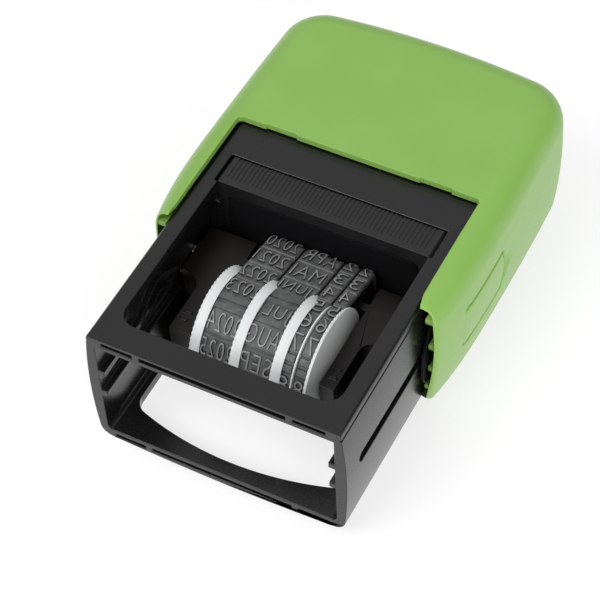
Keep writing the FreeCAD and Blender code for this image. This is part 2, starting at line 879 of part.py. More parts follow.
def make_spring():
    low = well_floor + spring_seat_gap + wire_radius
    high = spring_seat - spring_seat_gap - wire_radius
    length = high - low
    quarters = 4 * (2 * end_turns + middle_turns)

    def place(turn):
        angle = 2 * math.pi * turn
        rise, pitch = spring_rise(turn, length)
        point = Vector(spring_radius * math.cos(angle), low + rise, pivot_z + spring_radius * math.sin(angle))
        before = spring_rise(turn - 1 / 8, length)[0] if turn > 0 else rise - pitch / 8
        after = spring_rise(turn + 1 / 8, length)[0]
        climb = (after - before) * 4 / (2 * math.pi)
        way = Vector(-spring_radius * math.sin(angle), climb, spring_radius * math.cos(angle)).normalize()
        return point, way

    edges = []
    for quarter in range(quarters):
        start, start_way = place(quarter / 4)
        end, end_way = place((quarter + 1) / 4)
        edges.extend(biarc(start, start_way, end, end_way))
    path = Part.Wire(Part.__sortEdges__(edges))
    start, start_way = place(0)
    section = Part.Wire([Part.makeCircle(wire_radius, start, start_way)])
    coil = path.makePipeShell([section], True, False)
    if coil.Volume < 0:
        coil.reverse()
    loops = [place(n / 24)[0] for n in range(6 * quarters + 1)]
    apart = min(a.distanceToPoint(b) for n, a in enumerate(loops) for b in loops[n + 18:])
    print("spring wire length", round(path.Length, 1), "least gap between turns", round(apart - 2 * wire_radius, 2))
    return coil


# Carrier
def cheek_profile(side, cheek_outer, cheek_inner):
    # Half of the fork seen from the front: wide head at the pivot, narrow cheek beside the wheels
    end = pivot_height - cheek_reach
    shoulder = pivot_height - cheek_shoulder_reach
    head = pivot_height + carrier_head_reach
    z_low = pivot_z - carrier_half_thickness
    wire = polygon([
        Vector(side * cheek_inner, end, z_low),
        Vector(side * cheek_outer, end, z_low),
        Vector(side * cheek_outer, shoulder, z_low),
        Vector(side * carrier_half_width, shoulder + cheek_shoulder_radius / 2, z_low),
        Vector(side * carrier_half_width, head, z_low),
        Vector(side * cheek_inner, head, z_low),
    ])
    arm = prism(wire, Vector(0, 0, 2 * carrier_half_thickness))
    shoulder_edges = edges_along(arm, z_axis, lambda e: abs(e.CenterOfMass.y - shoulder) < seat_gap
                                 and abs(abs(e.CenterOfMass.x) - cheek_outer) < seat_gap)
    return arm.makeFillet(cheek_shoulder_radius, shoulder_edges)


def carrier_marks(side, cheek_outer):
    marks = []
    z_low = pivot_z + carrier_half_thickness - seat_gap
    for n in range(mark_count):
        y = pivot_height - mark_reach - n * mark_pitch
        x_far = cheek_outer - mark_width
        marks.append(side_block(side, x_far - mark_length, x_far, y - mark_width / 2, y + mark_width / 2,
                                z_low, z_low + mark_height + seat_gap))
    return marks


def make_carrier():
    arms = cheek_profile(-1, left_cheek_outer, left_cheek_inner)
    arms = arms.fuse(cheek_profile(1, right_cheek_outer, right_cheek_inner))
    web = block(-left_cheek_inner, right_cheek_inner, pivot_height - web_near_reach, pivot_height - web_far_reach,
                pivot_z - carrier_half_thickness, pivot_z + carrier_half_thickness)
    arms = arms.fuse([web] + carrier_marks(-1, left_cheek_outer) + carrier_marks(1, right_cheek_outer))
    studs = []
    bores = [rod_x(axle_radius + press_gap, -left_cheek_outer + axle_inset, right_cheek_outer - axle_inset,
                   wheel_height, pivot_z)]
    for side in sides:
        tip = inner_half_width - stud_gap
        x_low = min(side * carrier_half_width, side * tip)
        studs.append(rod_x(stud_radius, x_low - seat_gap, x_low + tip - carrier_half_width + seat_gap,
                           pivot_height - stud_reach, pivot_z))
        seat = carrier_half_width - pin_seat_depth
        bore_low = min(side * seat, side * (carrier_half_width + overrun))
        bores.append(rod_x(pin_radius + press_gap, bore_low, bore_low + pin_seat_depth + overrun,
                           pivot_height, pivot_z))
    return arms.fuse(studs).cut(bores)


def make_pivot_pin(side):
    near = carrier_half_width - pin_seat_depth + seat_gap
    far = arm_outer + boss_height - pin_end_gap
    x_low = min(side * near, side * far)
    pin = rod_x(pin_radius, x_low, x_low + far - near, pivot_height, pivot_z)
    return pin.makeChamfer(pin_radius / 4, [e for e in pin.Edges if e.Curve.TypeId == "Part::GeomCircle"])


def make_anvil():
    low = pivot_height - web_far_reach + press_gap
    high = pivot_height + nose_reach
    bar = block(year_band[0] - seat_gap, units_band[1] + seat_gap, low, high,
                pivot_z - nose_half_thickness, pivot_z + nose_half_thickness)
    nose = edges_along(bar, x_axis, lambda e: e.CenterOfMass.y > high - seat_gap)
    return bar.makeFillet(nose_radius, nose)


def make_axle():
    return rod_x(axle_radius, -left_cheek_outer + axle_inset, right_cheek_outer - axle_inset, wheel_height, pivot_z)


# Date bands
def band_wire(x, radius, half, reach, corner):
    # A belt round the wheel drum and the anvil's nose: outer tangents between the drum and nose corners
    centre_y = pivot_height + reach - corner
    centre_z = half - corner
    run_y = centre_y - wheel_height
    distance = math.hypot(run_y, centre_z)
    lean = math.atan2(centre_z, run_y) + math.acos((radius - corner) / distance)

    def at(y, z):
        return Vector(x, y, pivot_z + z)

    def on_circle(y, z, size, angle, flip):
        return at(y + size * math.cos(angle), flip * (z + size * math.sin(angle)))

    drum_top = on_circle(wheel_height, 0, radius, lean, 1)
    drum_bottom = on_circle(wheel_height, 0, radius, lean, -1)
    nose_top = on_circle(centre_y, centre_z, corner, lean, 1)
    nose_bottom = on_circle(centre_y, centre_z, corner, lean, -1)
    face_top = on_circle(centre_y, centre_z, corner, 0, 1)
    face_bottom = on_circle(centre_y, centre_z, corner, 0, -1)
    top_middle = on_circle(centre_y, centre_z, corner, lean / 2, 1)
    bottom_middle = on_circle(centre_y, centre_z, corner, lean / 2, -1)
    return Part.Wire([
        arc(drum_bottom, at(wheel_height - radius, 0), drum_top),
        line(drum_top, nose_top),
        arc(nose_top, top_middle, face_top),
        line(face_top, face_bottom),
        arc(face_bottom, bottom_middle, nose_bottom),
        line(nose_bottom, drum_bottom),
    ])


def rim_room(rim):
    # The rims lap over the band edges, which are notched where they cross them
    near = rim - running_gap
    far = rim + rim_width + running_gap
    room = rod_x(rim_radius + running_gap, near, far, wheel_height, pivot_z)
    return room.cut(rod_x(rim_inner - running_gap, near - overrun, far + overrun, wheel_height, pivot_z))


def make_band(edges):
    low, high = edges
    inner_half = nose_half_thickness + running_gap
    inner_reach = nose_reach + running_gap
    inner_corner = nose_radius + running_gap
    outer = band_wire(low, band_outer, inner_half + band_thickness, inner_reach + band_thickness,
                      inner_corner + band_thickness)
    inner = band_wire(low, band_inner, inner_half, inner_reach, inner_corner)
    loop = Part.Face(outer).cut(Part.Face(inner)).extrude(Vector(high - low, 0, 0))
    return loop.cut([rim_room(rim) for rim in (year_rim, month_rim, tens_rim, units_rim)])


# Setting wheels
def toothed_ring(x_low, width):
    points = []
    for n in range(2 * tooth_count):
        radius = rim_radius - tooth_depth * (n % 2)
        angle = math.pi * n / tooth_count
        points.append(Vector(x_low, wheel_height + radius * math.cos(angle), pivot_z + radius * math.sin(angle)))
    return prism(polygon(points), Vector(width, 0, 0))


def make_wheel(rim_low, web_low, drum_low, drum_high, hub_low):
    # Thin web, cone-backed rim that laps over the neighbouring band, plain drum, bore
    inner = rim_inner
    root = rim_radius - tooth_depth
    profile = polygon([
        Vector(web_low, bore_radius, 0),
        Vector(web_low, inner, 0),
        Vector(rim_low, inner, 0),
        Vector(rim_low, root, 0),
        Vector(rim_low + rim_land, rim_radius, 0),
        Vector(rim_low + rim_width, inner, 0),
        Vector(drum_low, inner, 0),
        Vector(drum_low, drum_radius, 0),
        Vector(drum_high, drum_radius, 0),
        Vector(drum_high, bore_radius, 0),
    ])
    wheel = turned(profile, wheel_height, pivot_z)
    ring = toothed_ring(rim_low, rim_land)
    ring = ring.cut(rod_x(inner, rim_low - overrun, rim_low + overrun, wheel_height, pivot_z))
    wheel = wheel.fuse(ring)
    if hub_low < web_low:
        hub = rod_x(hub_radius, hub_low, web_low + press_gap, wheel_height, pivot_z)
        hub = hub.cut(rod_x(bore_radius, hub_low - overrun, web_low + overrun, wheel_height, pivot_z))
        wheel = wheel.fuse(hub)
    return wheel


def make_units_wheel():
    # This one carries its rim on the right, with a coned outer face, and a thin disc on the left
    low, high = units_band
    disc_low = low - running_gap - disc_width
    profile = polygon([
        Vector(disc_low, bore_radius, 0),
        Vector(disc_low, disc_radius, 0),
        Vector(disc_low + disc_width, disc_radius, 0),
        Vector(disc_low + disc_width, drum_radius, 0),
        Vector(units_rim, drum_radius, 0),
        Vector(units_rim, rim_radius - tooth_depth, 0),
        Vector(units_rim + rim_land, rim_radius, 0),
        Vector(units_rim + flange_land, rim_radius, 0),
        Vector(units_face, hub_radius, 0),
        Vector(units_face, bore_radius, 0),
    ])
    wheel = turned(profile, wheel_height, pivot_z)
    ring = toothed_ring(units_rim, rim_land)
    ring = ring.cut(rod_x(rim_inner, units_rim - overrun, units_rim + overrun, wheel_height, pivot_z))
    return wheel.fuse(ring)


def main():
    os.makedirs("parts", exist_ok=True)
    outer = outer_cap_form()
    inner = inner_cap_form()
    save(make_base_frame(), "base_frame")
    save(make_ink_cartridge(), "ink_cartridge")
    save(make_ink_pad(), "ink_pad")
    save(make_cap(outer, inner), "press_cap")
    save(make_yoke(), "yoke")
    save(make_spring(), "main_spring")
    save(make_carrier(), "carrier")
    save(make_anvil(), "band_anvil")
    save(make_axle(), "wheel_axle")
    for side, name in ((-1, "left"), (1, "right")):
        save(make_lock_tab(side, outer, inner), "lock_tab_" + name)
        save(make_pivot_pin(side), "pivot_pin_" + name)
    bands = (
        ("year", year_band),
        ("month", month_band),
        ("tens", tens_band),
        ("units", units_band),
    )
    for name, edges in bands:
        save(make_band(edges), name + "_band")
    year_web = year_band[0] - running_gap - wheel_web
    hub_low = -left_cheek_inner + seat_gap
    save(make_wheel(year_rim, year_web, year_band[0] - running_gap, year_band[1], hub_low), "year_wheel")
    month_web = year_band[1] + running_gap
    save(make_wheel(month_rim, month_web, month_band[0] - running_gap, month_band[1], month_web), "month_wheel")
    tens_web = month_band[1] + running_gap
    save(make_wheel(tens_rim, tens_web, tens_band[0] - running_gap, tens_band[1], tens_web), "tens_wheel")
    save(make_units_wheel(), "units_wheel")


main()
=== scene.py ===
# %% [markdown]
# # A self-inking date stamp, dressed over its mechanical model
# The stamp lies on the back of its green press cap, with its open front window up.
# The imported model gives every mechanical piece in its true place, and this lesson dresses it:
# softened edges, raised type on the rubber bands, real materials, a studio and a camera.

import json
import math

import bmesh
import bpy
from mathutils import Matrix, Vector


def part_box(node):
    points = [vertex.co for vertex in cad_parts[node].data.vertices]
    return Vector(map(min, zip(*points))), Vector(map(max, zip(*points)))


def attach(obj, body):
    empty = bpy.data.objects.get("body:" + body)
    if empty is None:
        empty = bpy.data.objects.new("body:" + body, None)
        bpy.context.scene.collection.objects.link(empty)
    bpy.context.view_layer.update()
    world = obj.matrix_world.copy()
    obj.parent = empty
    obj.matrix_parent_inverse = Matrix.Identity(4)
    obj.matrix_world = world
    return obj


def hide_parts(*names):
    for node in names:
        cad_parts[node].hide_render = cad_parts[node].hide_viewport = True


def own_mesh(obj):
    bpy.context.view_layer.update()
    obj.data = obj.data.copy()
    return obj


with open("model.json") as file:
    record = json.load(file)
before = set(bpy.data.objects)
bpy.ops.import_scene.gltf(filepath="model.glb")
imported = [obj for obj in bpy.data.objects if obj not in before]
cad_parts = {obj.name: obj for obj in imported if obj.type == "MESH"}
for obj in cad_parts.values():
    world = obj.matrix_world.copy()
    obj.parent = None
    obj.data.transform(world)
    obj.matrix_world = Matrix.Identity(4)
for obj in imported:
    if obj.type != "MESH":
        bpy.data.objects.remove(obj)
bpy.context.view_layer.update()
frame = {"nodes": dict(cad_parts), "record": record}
nodes = frame["nodes"]

# %% [markdown]
# ## Sizes
# Everything is in metres. The drawing of the stamp was made with y = 0 at its foot and z = 0 on the
# front face of its black frame, so one helper turns a drawing place in millimetres into the scene.

# %% Places on the stamp's drawing
mm = 0.001
cap_top = 80.8
cap_back = -27.9
pivot_height = 30.2
pivot_z = -11.4
wheel_height = 18.4


def place(x, y, z):
    return Vector((x * mm, (y - cap_top / 2) * mm, (z - cap_back) * mm))


print("the pivot is at", tuple(round(v, 4) for v in place(0, pivot_height, pivot_z)))

# %% [markdown]
# ## Helpers for materials
# A node tree is a list of nodes and wires. One function adds a node with its settings and links, and
# one turns the hex colours that a paint chart gives into the linear values that a shader needs. Two
# more make a noise of a real size and close a material with its surface shader.

# %% Node helper and colour helper
def linear(code):
    channels = [int(code[i:i + 2], 16) / 255 for i in (1, 3, 5)]
    return [c / 12.92 if c <= 0.04045 else ((c + 0.055) / 1.055) ** 2.4 for c in channels] + [1.0]


def add_node(tree, kind, settings=None, inputs=None):
    node = tree.nodes.new(kind)
    for name, value in (settings or {}).items():
        setattr(node, name, value)
    for name, value in (inputs or {}).items():
        if isinstance(value, bpy.types.NodeSocket):
            tree.links.new(value, node.inputs[name])
        else:
            node.inputs[name].default_value = value
    return node


def new_material(name):
    material = bpy.data.materials.new(name)
    material.use_nodes = True
    material.node_tree.nodes.clear()
    return material, material.node_tree


def noise(tree, where, size_mm, detail, distortion=0.0):
    # A noise whose blotches are about size_mm across
    inputs = {"Vector": where, "Scale": 1000 / size_mm, "Detail": detail, "Distortion": distortion}
    return add_node(tree, "ShaderNodeTexNoise", None, inputs).outputs["Fac"]


def finish_surface(material, tree, inputs):
    shader = add_node(tree, "ShaderNodeBsdfPrincipled", None, inputs)
    add_node(tree, "ShaderNodeOutputMaterial", None, {"Surface": shader.outputs["BSDF"]})
    return material


print("mid grey is", round(linear("#808080")[0], 3), "in linear light")

# %% [markdown]
# ## Moulded plastic
# The cap, frame, cartridge, carrier and wheels are injection moulded. Moulded plastic has a very
# slightly uneven skin: a fine grain from the mould, faint cloudiness in the colour and small changes
# of gloss. Two noises at real sizes give that, and the colours and roughness differ by piece.

# %% Moulded plastic, wheel plastic and rubber
noise_low, noise_high = 0.3, 0.7  # nearly all of a noise lies between these
glossiest, dullest = -0.03, 0.05  # how far the roughness strays from its middle value


def moulded_plastic(name, dark, light, roughness, grain_mm, grain_depth_mm, cloud_mm=9.0, shine=0.5):
    material, tree = new_material(name)
    where = add_node(tree, "ShaderNodeTexCoord").outputs["Object"]
    ramp = add_node(tree, "ShaderNodeValToRGB", None, {"Fac": noise(tree, where, cloud_mm, 3.0)})
    for element, position, colour in zip(ramp.color_ramp.elements, (noise_low, noise_high), (dark, light)):
        element.position = position
        element.color = linear(colour)
    grain = noise(tree, where, grain_mm, 2.0)
    gloss = add_node(tree, "ShaderNodeMapRange", None, {
        "Value": grain, "From Min": noise_low, "From Max": noise_high,
        "To Min": roughness + glossiest, "To Max": roughness + dullest})
    bump = add_node(tree, "ShaderNodeBump", None, {
        "Height": grain, "Distance": grain_depth_mm * mm, "Strength": 0.6})
    return finish_surface(material, tree, {
        "Base Color": ramp.outputs["Color"], "Roughness": gloss.outputs["Result"],
        "Normal": bump.outputs["Normal"], "IOR": 1.5, "Specular IOR Level": shine})


# Apple green ABS: opaque, satin, with a very fine spark-eroded grain that widens the highlights
green_abs = moulded_plastic("green_abs_satin", "#83B050", "#87B456", 0.36, 0.30, 0.004)
# Black ABS of the frame: nearly black, glossier than the cap, so it mirrors the pale surroundings
black_abs = moulded_plastic("black_abs_gloss", "#0F1010", "#131413", 0.25, 0.14, 0.0003)
# Black polypropylene of the cartridge: a little paler and duller than the frame
black_polypropylene = moulded_plastic("black_polypropylene_satin", "#151616", "#1A1B1B", 0.34, 0.30, 0.0015)
# Black nylon of the carrier: warm black and satin, with a coarser grain than the frame
black_nylon = moulded_plastic("black_nylon_satin", "#0D0A07", "#120E0A", 0.34, 0.40, 0.002, shine=0.33)
# Black yoke: matt, from a glass-filled nylon, so that it hardly mirrors the floor
black_filled_nylon = moulded_plastic(
    "black_nylon_glass_filled", "#0A0A0B", "#0D0D0D", 0.55, 0.40, 0.003, shine=0.15)
# White acetal of the setting wheels: slippery, slightly waxy off-white
white_acetal = moulded_plastic("white_acetal_waxy", "#D3D6D6", "#DCDEDE", 0.36, 0.6, 0.005)
# Grey rubber of the bands: matt, cloudy with handling, with a grain like fine leather
grey_rubber = moulded_plastic("grey_band_rubber", "#434544", "#5E605F", 0.50, 0.30, 0.028, cloud_mm=1.2)
# The type is the same rubber with its top painted paler: a painted highlight for the light its edges catch
type_top_painted_highlight = moulded_plastic("grey_type_rubber_painted_highlight", "#727473", "#929493", 0.45, 0.25, 0.018, cloud_mm=0.9)
# The type's sides are the same rubber painted darker: painted shade down the sides of the letters
type_side_painted_shade = moulded_plastic("grey_type_rubber_painted_shade", "#242525", "#303131", 0.55, 0.25, 0.015, cloud_mm=2.0)
print("plastics and rubbers:", [m.name for m in bpy.data.materials if m.users == 0])

# %% [markdown]
# ## Steel and felt
# The pins and the axle are ground steel and the spring is drawn wire: metal with fine lines along
# its length. The ink pad is felt, black with ink: rough, with tufts a quarter of a millimetre wide.

# %% Steel wire, ground steel and inked felt
def brushed_metal(name, colour, roughness, stretch):
    material, tree = new_material(name)
    where = add_node(tree, "ShaderNodeTexCoord").outputs["Object"]
    along = add_node(tree, "ShaderNodeMapping", None, {"Vector": where, "Scale": stretch})
    lines = noise(tree, along.outputs["Vector"], 0.25, 2.0)
    gloss = add_node(tree, "ShaderNodeMapRange", None, {
        "Value": lines, "To Min": roughness - 0.06, "To Max": roughness + 0.08})
    bump = add_node(tree, "ShaderNodeBump", None, {"Height": lines, "Distance": 0.003 * mm, "Strength": 0.4})
    return finish_surface(material, tree, {
        "Base Color": linear(colour), "Metallic": 1.0, "Roughness": gloss.outputs["Result"],
        "Normal": bump.outputs["Normal"]})


# Ground steel rod: grinding lines run round it, so the pattern is short along x
ground_steel = brushed_metal("steel_rod_ground", "#B9BBBD", 0.26, (1.0, 0.15, 0.15))
# Drawn spring wire: darker, with lines along the stamp's length
spring_wire = brushed_metal("steel_wire_drawn", "#A3A5A8", 0.32, (0.2, 1.0, 0.2))


def inked_felt(name):
    material, tree = new_material(name)
    where = add_node(tree, "ShaderNodeTexCoord").outputs["Object"]
    fibre = noise(tree, where, 0.25, 4.0, distortion=1.2)
    ramp = add_node(tree, "ShaderNodeValToRGB", None, {"Fac": fibre})
    ramp.color_ramp.elements[0].color = linear("#040405")
    ramp.color_ramp.elements[1].color = linear("#0C0C10")
    bump = add_node(tree, "ShaderNodeBump", None, {"Height": fibre, "Distance": 0.06 * mm, "Strength": 0.8})
    return finish_surface(material, tree, {
        "Base Color": ramp.outputs["Color"], "Roughness": 0.9,
        "Normal": bump.outputs["Normal"], "Specular IOR Level": 0.2})


pad_felt = inked_felt("wool_felt_inked")
print("materials so far:", len(bpy.data.materials))

# %% [markdown]
# ## Mechanical pieces with softened edges
# No moulded edge is perfectly sharp: it has a radius of a tenth of a millimetre or two, and that
# radius catches a thin line of light. The mechanical mesh is loose triangles, so a copy is merged,
# its flat areas are made one face each, and a Bevel modifier rounds what is left of the sharp edges.
# Each sharp edge carries a weight, so that one piece can have wide, soft grooves round its lock tabs, the
# usual fine radius elsewhere, and no edge at all where a tab's root runs on into the cap. Where the next
# edge is near, the weight falls along the whole run of edges, so that two radii never run into each other.

# %% A softened copy of a CAD node
# For each node: its material, the radius of its edges in mm and its material slot
finish_of = {
    "base_frame": (black_abs, 0.16, "frame_black"),
    "ink_cartridge": (black_polypropylene, 0.06, "cartridge_black"),
    "ink_pad": (pad_felt, 0.2, "pad_felt"),
    "press_cap": (green_abs, 0.14, "cap_green"),
    "lock_tab_left": (green_abs, 0.12, "cap_green"),
    "lock_tab_right": (green_abs, 0.12, "cap_green"),
    "yoke": (black_filled_nylon, 0.12, "yoke_black"),
    "carrier": (black_nylon, 0.12, "carrier_black"),
    "band_anvil": (black_nylon, 0.1, "carrier_black"),
    "wheel_axle": (ground_steel, 0.1, "pin_steel"),
    "pivot_pin_left": (ground_steel, 0.05, "pin_steel"),
    "pivot_pin_right": (ground_steel, 0.05, "pin_steel"),
    "year_band": (grey_rubber, 0.08, "band_rubber"),
    "month_band": (grey_rubber, 0.08, "band_rubber"),
    "tens_band": (grey_rubber, 0.08, "band_rubber"),
    "units_band": (grey_rubber, 0.08, "band_rubber"),
    "year_wheel": (white_acetal, 0.06, "wheel_white"),
    "month_wheel": (white_acetal, 0.06, "wheel_white"),
    "tens_wheel": (white_acetal, 0.06, "wheel_white"),
    "units_wheel": (white_acetal, 0.06, "wheel_white"),
}
body_of_node = {n: body for body, members in frame["record"]["behaviour"]["bodies"].items() for n in members}


def deselect():
    if bpy.context.mode != "OBJECT":
        bpy.ops.object.mode_set(mode="OBJECT")
    bpy.ops.object.select_all(action="DESELECT")


def make_active(piece):
    deselect()
    piece.select_set(True)
    bpy.context.view_layer.objects.active = piece


def loose_copy(node):
    # A copy of a CAD node that belongs to nothing yet
    piece = nodes[node].copy()
    piece.data = nodes[node].data.copy()
    piece.name = node + "_dressed"
    piece.parent = None
    for key in list(piece.keys()):
        del piece[key]
    bpy.context.scene.collection.objects.link(piece)
    make_active(piece)
    return piece


merge_distance = 0.002 * mm
widest_radius = 0.5
# The lock tabs and the grooves round them, on the stamp's drawing
tab_root = 34.3
tab_root_gap = 0.16
tab_root_reach = 0.3
tab_middle_z = -12.0
groove_inner_x = 25.3
groove_low, groove_high = 34.0, 50.0
groove_half_z = 5.0
# How a run of sharp edges is followed, and how much of a neighbouring edge a radius may take
sharp_angle = math.radians(35)
carries_on = -0.8
room_by_sharp = 0.45
room_by_flat = 0.9


def edge_share(node, middle, radius_mm):
    # How much of the widest radius a sharp edge gets, by its place on the stamp's drawing
    share = radius_mm / widest_radius
    x = abs(middle.x) / mm
    y = middle.y / mm + cap_top / 2
    z = middle.z / mm + cap_back
    by_the_tab = x > groove_inner_x and groove_low < y < groove_high and abs(z - tab_middle_z) < groove_half_z
    if node in ("press_cap", "lock_tab_left", "lock_tab_right") and by_the_tab:
        share = 0.0 if y < tab_root + tab_root_reach else 1.0
    return share


def is_sharp(edge):
    return edge.calc_face_angle(0.0) > sharp_angle


def look_round(edge, corner):
    # The edges that carry this one on past its end, and how wide a radius can grow there
    room = 1.0
    carried_on = []
    along = (edge.other_vert(corner).co - corner.co).normalized()
    for other in corner.link_edges:
        toward = (other.other_vert(corner).co - corner.co).normalized()
        if other is edge:
            continue
        if is_sharp(other) and along.dot(toward) < carries_on:
            carried_on.append(other)
        else:
            room = min(room, other.calc_length() * (room_by_sharp if is_sharp(other) else room_by_flat))
    return carried_on, room


def edge_runs(work):
    # Sharp edges in unbroken runs, each with the room that it has at its tightest place
    left = {edge for edge in work.edges if is_sharp(edge)}
    while left:
        run = []
        room = 1.0
        ahead = [left.pop()]
        while ahead:
            edge = ahead.pop()
            run.append(edge)
            for corner in edge.verts:
                carried_on, here = look_round(edge, corner)
                room = min(room, here)
                ahead += [other for other in carried_on if other in left]
                left.difference_update(carried_on)
        yield run, room


def weigh_edges(piece, node, radius_mm):
    work = bmesh.new()
    work.from_mesh(piece.data)
    weight = work.edges.layers.float.new("bevel_weight_edge")
    for run, room in edge_runs(work):
        for edge in run:
            share = edge_share(node, (edge.verts[0].co + edge.verts[1].co) / 2, radius_mm)
            edge[weight] = share if share in (0.0, 1.0) else min(share, room / (widest_radius * mm))
    work.to_mesh(piece.data)
    work.free()


def softened(node, material, radius_mm):
    piece = loose_copy(node)
    bpy.ops.mesh.customdata_custom_splitnormals_clear()
    bpy.ops.object.mode_set(mode="EDIT")
    bpy.ops.mesh.select_all(action="SELECT")
    bpy.ops.mesh.remove_doubles(threshold=merge_distance)
    bpy.ops.mesh.dissolve_limited(angle_limit=math.radians(0.6))
    bpy.ops.object.mode_set(mode="OBJECT")
    weigh_edges(piece, node, radius_mm)
    bevel = piece.modifiers.new("soft_edges", "BEVEL")
    bevel.width = widest_radius * mm
    bevel.segments = 3
    bevel.limit_method = "WEIGHT"
    bevel.use_clamp_overlap = False
    bpy.ops.object.modifier_apply(modifier=bevel.name)
    bpy.ops.object.shade_smooth_by_angle(angle=math.radians(38))
    evened = piece.modifiers.new("even_normals", "WEIGHTED_NORMAL")
    evened.keep_sharp = True
    evened.weight = 60
    bpy.ops.object.modifier_apply(modifier=evened.name)
    piece.data.materials.clear()
    piece.data.materials.append(material)
    return piece


for node, (material, radius_mm, slot_name) in finish_of.items():
    piece = softened(node, material, radius_mm)
    if node.startswith("lock_tab"):
        # The tongue grows out of the cap here, so its root closes the mechanical model's thin gap
        for vertex in piece.data.vertices:
            if abs(vertex.co.y / mm + cap_top / 2 - tab_root) < tab_root_gap:
                vertex.co.y = (tab_root - cap_top / 2) * mm
    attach(piece, body_of_node[node])
    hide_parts(node)
    print(node, "softened,", len(piece.data.polygons), "faces")

# %% [markdown]
# ## The main spring
# The spring is already one unbroken coil in the mechanical model. It is copied, its doubled points are merged,
# and it moves with the cap.

# %% Spring
spring = loose_copy("main_spring")
bpy.ops.object.mode_set(mode="EDIT")
bpy.ops.mesh.select_all(action="SELECT")
bpy.ops.mesh.remove_doubles(threshold=merge_distance)
bpy.ops.object.mode_set(mode="OBJECT")
bpy.ops.object.shade_smooth_by_angle(angle=math.radians(40))
spring.data.materials.clear()
spring.data.materials.append(spring_wire)
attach(spring, "cap")
spring_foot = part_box("main_spring")[0].y
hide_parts("main_spring")
print("spring foot at y =", round(spring_foot, 4))

# %% [markdown]
# ## Raised type on the bands
# Each band is a rubber belt with mirrored, raised type: the year, the month, and the two figures of
# the day, with one plain bar. Each entry is a text object with a little depth. It is turned into
# a mesh, mirrored, and laid along the belt's path by moving its vertices: across the belt is x, up the
# type is the way along the path, and its depth is the height above the belt.

# %% The belt's path
# The belt's outer face: round the wheel at one end and round the anvil's two corners at the nose
drum_radius = 8.35
nose_corner = 1.95
nose_half = 4.95
nose_reach = 4.9


def belt_path():
    centre_y = pivot_height + nose_reach - nose_corner
    centre_z = nose_half - nose_corner
    run_y = centre_y - wheel_height
    distance = math.hypot(run_y, centre_z)
    lean = math.atan2(centre_z, run_y) + math.acos((drum_radius - nose_corner) / distance)
    straight = math.sqrt(distance ** 2 - (drum_radius - nose_corner) ** 2)
    return centre_y, centre_z, lean, straight


def on_belt(s, h):
    # s is the way along the belt from the middle of the nose, over the front; h is the height above it
    if s < 0:
        # The belt's back is the mirror image of its front
        y, z = on_belt(-s, h)
        return y, -z
    centre_y, centre_z, lean, straight = belt_path()
    flat = centre_z
    corner = nose_corner * lean
    if s <= flat:
        return centre_y + nose_corner + h, s
    if s <= flat + corner:
        angle = (s - flat) / nose_corner
        return centre_y + (nose_corner + h) * math.cos(angle), centre_z + (nose_corner + h) * math.sin(angle)
    if s <= flat + corner + straight:
        way = s - flat - corner
        y = centre_y + (nose_corner + h) * math.cos(lean) - way * math.sin(lean)
        z = centre_z + (nose_corner + h) * math.sin(lean) + way * math.cos(lean)
        return y, z
    angle = lean + (s - flat - corner - straight) / drum_radius
    return wheel_height + (drum_radius + h) * math.cos(angle), (drum_radius + h) * math.sin(angle)


belt_lean, belt_straight = belt_path()[2:]
print("belt: lean", round(math.degrees(belt_lean), 1), "degrees, straight run", round(belt_straight, 2), "mm")

# %% Lay a flat mesh on the belt
type_depth = 0.5
plate_depth = 0.16
plate_chamfer = 0.12


def lay_on_belt(piece, middle_x, middle_s):
    # The flat mesh is centred on the origin: x across, y up the type, z its depth above the belt
    mesh = piece.data
    for vertex in mesh.vertices:
        x, y, h = vertex.co.x, vertex.co.y, vertex.co.z
        belt_y, belt_z = on_belt(middle_s - y, h)
        vertex.co = place(middle_x - x, belt_y, pivot_z + belt_z)
    make_active(piece)
    bpy.ops.object.mode_set(mode="EDIT")
    bpy.ops.mesh.select_all(action="SELECT")
    bpy.ops.mesh.normals_make_consistent(inside=False)
    bpy.ops.object.mode_set(mode="OBJECT")


def type_mesh(word, width, height):
    # Condensed letters with thin strokes, standing on their plate
    bpy.ops.object.text_add(location=(0, 0, 0))
    text = bpy.context.object
    text.data.body = word
    text.data.align_x = "CENTER"
    text.data.align_y = "CENTER"
    text.data.size = 1.0
    text.data.resolution_u = 3
    text.data.offset = -0.014
    text.data.space_character = 1.12
    text.data.extrude = 0.5
    make_active(text)
    bpy.ops.object.convert(target="MESH")
    letters = bpy.context.object
    xs = [v.co.x for v in letters.data.vertices]
    ys = [v.co.y for v in letters.data.vertices]
    zs = [v.co.z for v in letters.data.vertices]
    scale_x = width / (max(xs) - min(xs))
    scale_y = height / (max(ys) - min(ys))
    for v in letters.data.vertices:
        v.co.x = (v.co.x - (max(xs) + min(xs)) / 2) * scale_x
        v.co.y = (v.co.y - (max(ys) + min(ys)) / 2) * scale_y
        share = (v.co.z - min(zs)) / (max(zs) - min(zs))
        v.co.z = plate_depth * 0.5 + share * (type_depth - plate_depth * 0.5)
    return letters


def plate_mesh(width, length, depth):
    # A thin plate with chamfered edges, cut across so that it bends with the belt
    bpy.ops.mesh.primitive_grid_add(x_subdivisions=1, y_subdivisions=8, size=1.0, location=(0, 0, 0))
    plate = bpy.context.object
    bpy.ops.object.mode_set(mode="EDIT")
    bpy.ops.mesh.select_all(action="SELECT")
    bpy.ops.transform.resize(value=(width, length, 1.0))
    bpy.ops.object.mode_set(mode="OBJECT")
    wall = plate.modifiers.new("plate_wall", "SOLIDIFY")
    wall.thickness = depth
    wall.offset = 1.0
    bpy.ops.object.modifier_apply(modifier=wall.name)
    edge = min(depth, plate_chamfer)
    for vertex in plate.data.vertices:
        if vertex.co.z > depth / 2:
            vertex.co.x *= (width - 2 * edge) / width
            vertex.co.y *= (length - 2 * edge) / length
    return plate


